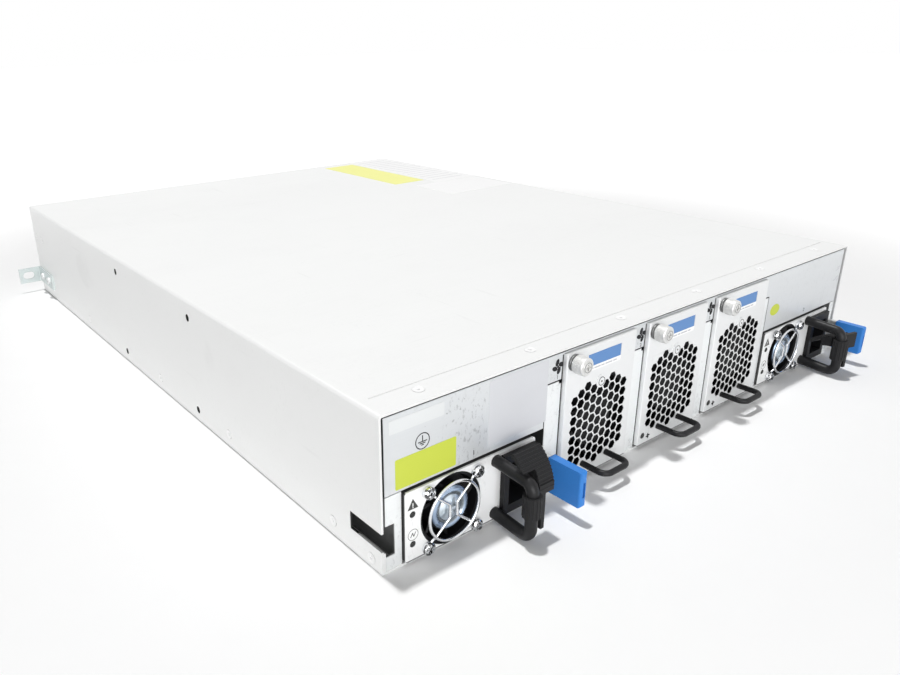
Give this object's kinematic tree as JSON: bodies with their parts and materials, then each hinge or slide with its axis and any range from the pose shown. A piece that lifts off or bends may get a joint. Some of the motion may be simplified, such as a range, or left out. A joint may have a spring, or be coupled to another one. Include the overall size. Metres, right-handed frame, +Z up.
{
  "type": "rack ethernet switch",
  "caption": "Rack ethernet switch with pull-out power supplies and fan modules on its service side and pluggable ports on the other side.",
  "frame": {"origin": "middle of the base's underside", "axes": "+Z up, service side (fans and power supplies) at -Y, port side at +Y"},
  "size_m": [0.4826, 0.612, 0.086],
  "materials": {
    "cover_zinc": "satin zinc-plated sheet with light scratches",
    "panel_zinc": "satin zinc-plated sheet, scuffed",
    "white_sheet": "smooth pale plate",
    "screw_steel": "plain steel",
    "nickel": "bright nickel",
    "chrome_wire": "polished wire",
    "black_bar": "satin black",
    "black_plastic": "fine matt",
    "fan_black": "matt",
    "fan_hub": "satin, with a shiny hub disc",
    "blue_plastic": "satin blue",
    "board_green": "solder mask",
    "sink_metal": "plain extrusion",
    "brass_post": "plain",
    "cage_steel": "plain sheet"
  },
  "bodies": {
    "chassis": {"base_tray": "cover_zinc", "top_cover": "cover_zinc", "ear_left": "cover_zinc", "ear_right": "cover_zinc", "service_panel": "panel_zinc", "bay_post_1": "panel_zinc", "bay_post_2": "panel_zinc", "bay_post_3": "panel_zinc", "bay_post_4": "panel_zinc", "power_bay_left": "panel_zinc", "power_bay_right": "panel_zinc", "port_panel": "panel_zinc", "cover_screws": "screw_steel", "ear_screws": "screw_steel", "fan_board": "board_green", "main_board": "board_green", "board_standoffs": "brass_post", "heat_sinks": "sink_metal", "port_cage_left": "cage_steel", "port_cage_right": "cage_steel", "management_jacks": "black_plastic"},
    "psu_left": {"psu_left_case": "white_sheet", "psu_left_fan_frame": "fan_black", "psu_left_finger_guard": "chrome_wire", "psu_left_guard_screws": "chrome_wire", "psu_left_inlet": "black_plastic", "psu_left_inlet_pins": "nickel", "psu_left_handle": "black_bar", "psu_left_board": "board_green"},
    "psu_left_rotor": {"psu_left_fan_rotor": "fan_hub"},
    "psu_left_clip": {"psu_left_cord_clip": "black_plastic"},
    "psu_left_latch": {"psu_left_latch_strip": "screw_steel", "psu_left_latch_tab": "blue_plastic"},
    "psu_right": {"psu_right_case": "white_sheet", "psu_right_fan_frame": "fan_black", "psu_right_finger_guard": "chrome_wire", "psu_right_guard_screws": "chrome_wire", "psu_right_inlet": "black_plastic", "psu_right_inlet_pins": "nickel", "psu_right_handle": "black_bar", "psu_right_board": "board_green"},
    "psu_right_rotor": {"psu_right_fan_rotor": "fan_hub"},
    "psu_right_clip": {"psu_right_cord_clip": "black_plastic"},
    "psu_right_latch": {"psu_right_latch_strip": "screw_steel", "psu_right_latch_tab": "blue_plastic"},
    "fan_1": {"fan_1_plate": "white_sheet", "fan_1_frame": "fan_black", "fan_1_handle": "black_bar"},
    "fan_1_rotor": {"fan_1_rotor": "fan_black"},
    "fan_1_screw": {"fan_1_thumbscrew": "nickel"},
    "fan_2": {"fan_2_plate": "white_sheet", "fan_2_frame": "fan_black", "fan_2_handle": "black_bar"},
    "fan_2_rotor": {"fan_2_rotor": "fan_black"},
    "fan_2_screw": {"fan_2_thumbscrew": "nickel"},
    "fan_3": {"fan_3_plate": "white_sheet", "fan_3_frame": "fan_black", "fan_3_handle": "black_bar"},
    "fan_3_rotor": {"fan_3_rotor": "fan_black"},
    "fan_3_screw": {"fan_3_thumbscrew": "nickel"}
  },
  "joints": [
    {"name": "psu_left_pull", "type": "slide", "parent": "chassis", "child": "psu_left", "axis": [0, -1, 0], "range_m": [0, 0.21]},
    {"name": "psu_left_fan_spin", "type": "hinge", "parent": "psu_left", "child": "psu_left_rotor", "pos_m": [-0.1773, -0.2898, 0.0214], "axis": [0, 1, 0], "continuous": true},
    {"name": "psu_left_clip_turn", "type": "hinge", "parent": "psu_left", "child": "psu_left_clip", "pos_m": [-0.1472, -0.317, 0.0214], "axis": [0, 0, 1], "range_deg": [-120, 4]},
    {"name": "psu_left_latch_press", "type": "hinge", "parent": "psu_left", "child": "psu_left_latch", "pos_m": [-0.1183, -0.2308, 0.0205], "axis": [0, 0, -1], "range_deg": [0, 2.4], "stiffness_Nm_per_rad": 4},
    {"name": "psu_right_pull", "type": "slide", "parent": "chassis", "child": "psu_right", "axis": [0, -1, 0], "range_m": [0, 0.21]},
    {"name": "psu_right_fan_spin", "type": "hinge", "parent": "psu_right", "child": "psu_right_rotor", "pos_m": [0.1432, -0.2898, 0.0214], "axis": [0, 1, 0], "continuous": true},
    {"name": "psu_right_clip_turn", "type": "hinge", "parent": "psu_right", "child": "psu_right_clip", "pos_m": [0.1733, -0.317, 0.0214], "axis": [0, 0, 1], "range_deg": [-105, 10]},
    {"name": "psu_right_latch_press", "type": "hinge", "parent": "psu_right", "child": "psu_right_latch", "pos_m": [0.2022, -0.2308, 0.0205], "axis": [0, 0, -1], "range_deg": [0, 2.4], "stiffness_Nm_per_rad": 4},
    {"name": "fan_1_pull", "type": "slide", "parent": "chassis", "child": "fan_1", "axis": [0, -1, 0], "range_m": [0, 0.08]},
    {"name": "fan_1_spin", "type": "hinge", "parent": "fan_1", "child": "fan_1_rotor", "pos_m": [-0.068, -0.2892, 0.0335], "axis": [0, 1, 0], "continuous": true},
    {"name": "fan_1_screw_turn", "type": "hinge", "parent": "fan_1", "child": "fan_1_screw", "pos_m": [-0.0922, -0.292, 0.0772], "axis": [0, 1, 0], "continuous": true},
    {"name": "fan_2_pull", "type": "slide", "parent": "chassis", "child": "fan_2", "axis": [0, -1, 0], "range_m": [0, 0.08]},
    {"name": "fan_2_spin", "type": "hinge", "parent": "fan_2", "child": "fan_2_rotor", "pos_m": [0.0035, -0.2892, 0.0335], "axis": [0, 1, 0], "continuous": true},
    {"name": "fan_2_screw_turn", "type": "hinge", "parent": "fan_2", "child": "fan_2_screw", "pos_m": [-0.0207, -0.292, 0.0772], "axis": [0, 1, 0], "continuous": true},
    {"name": "fan_3_pull", "type": "slide", "parent": "chassis", "child": "fan_3", "axis": [0, -1, 0], "range_m": [0, 0.08]},
    {"name": "fan_3_spin", "type": "hinge", "parent": "fan_3", "child": "fan_3_rotor", "pos_m": [0.075, -0.2892, 0.0335], "axis": [0, 1, 0], "continuous": true},
    {"name": "fan_3_screw_turn", "type": "hinge", "parent": "fan_3", "child": "fan_3_screw", "pos_m": [0.0508, -0.292, 0.0772], "axis": [0, 1, 0], "continuous": true}
  ]
}
